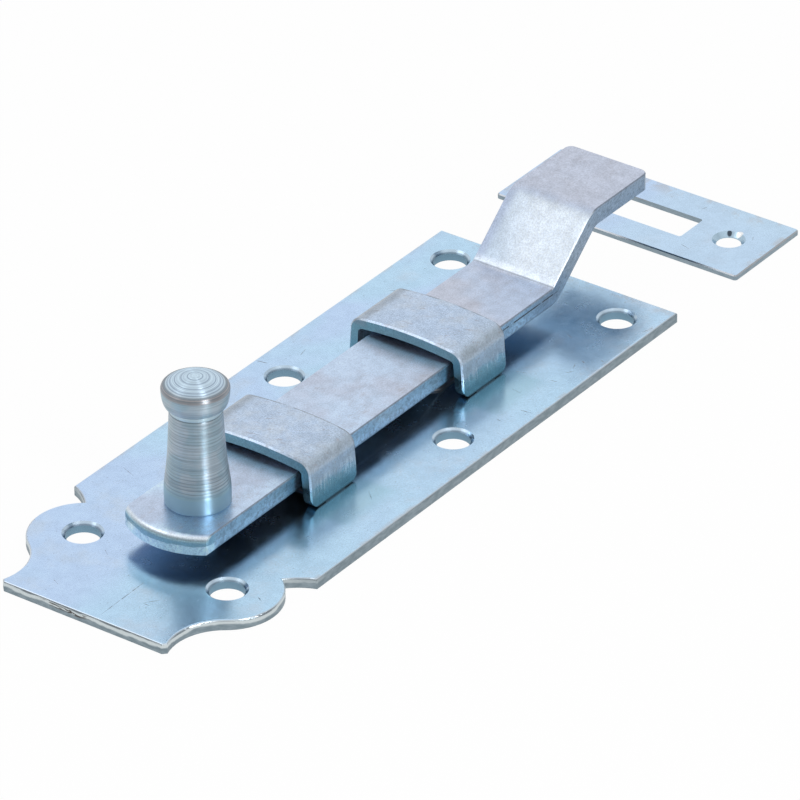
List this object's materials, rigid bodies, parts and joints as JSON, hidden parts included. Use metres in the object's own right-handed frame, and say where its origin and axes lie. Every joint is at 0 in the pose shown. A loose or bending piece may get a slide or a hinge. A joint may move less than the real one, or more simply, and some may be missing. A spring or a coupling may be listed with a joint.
{
  "type": "cranked plate bolt with strike plate",
  "caption": "Surface-mounted door bolt: a flat cranked bar with a turned knob slides in two bent strap guides on a shaped base plate, with a separate slotted strike plate.",
  "frame": {"origin": "middle of the base plate's back face, which lies on the door", "axes": "+X along the bolt's throw towards the strike plate, +Z out of the door"},
  "size_m": [0.1793, 0.053, 0.0332],
  "materials": {
    "zinc_plate": "bright zinc with blue passivation, faint lavender patches and scratches",
    "zinc_strap": "bright zinc on bent strap, rubbed grey at the bends",
    "zinc_bar": "bright zinc on flat bar, matt and slightly mottled",
    "zinc_turned": "bright zinc over fine turning marks",
    "spring_steel": "plain dark spring strip"
  },
  "bodies": {
    "base": {"base_plate": "zinc_plate", "near_guide": "zinc_strap", "far_guide": "zinc_strap", "leaf_spring": "spring_steel", "strike_plate": "zinc_plate"},
    "bolt": {"bolt_bar": "zinc_bar", "knob": "zinc_turned"}
  },
  "joints": [
    {"name": "bolt_slide", "type": "slide", "parent": "base", "child": "bolt", "axis": [1, 0, 0], "range_m": [-0.017, 0.0105]}
  ]
}
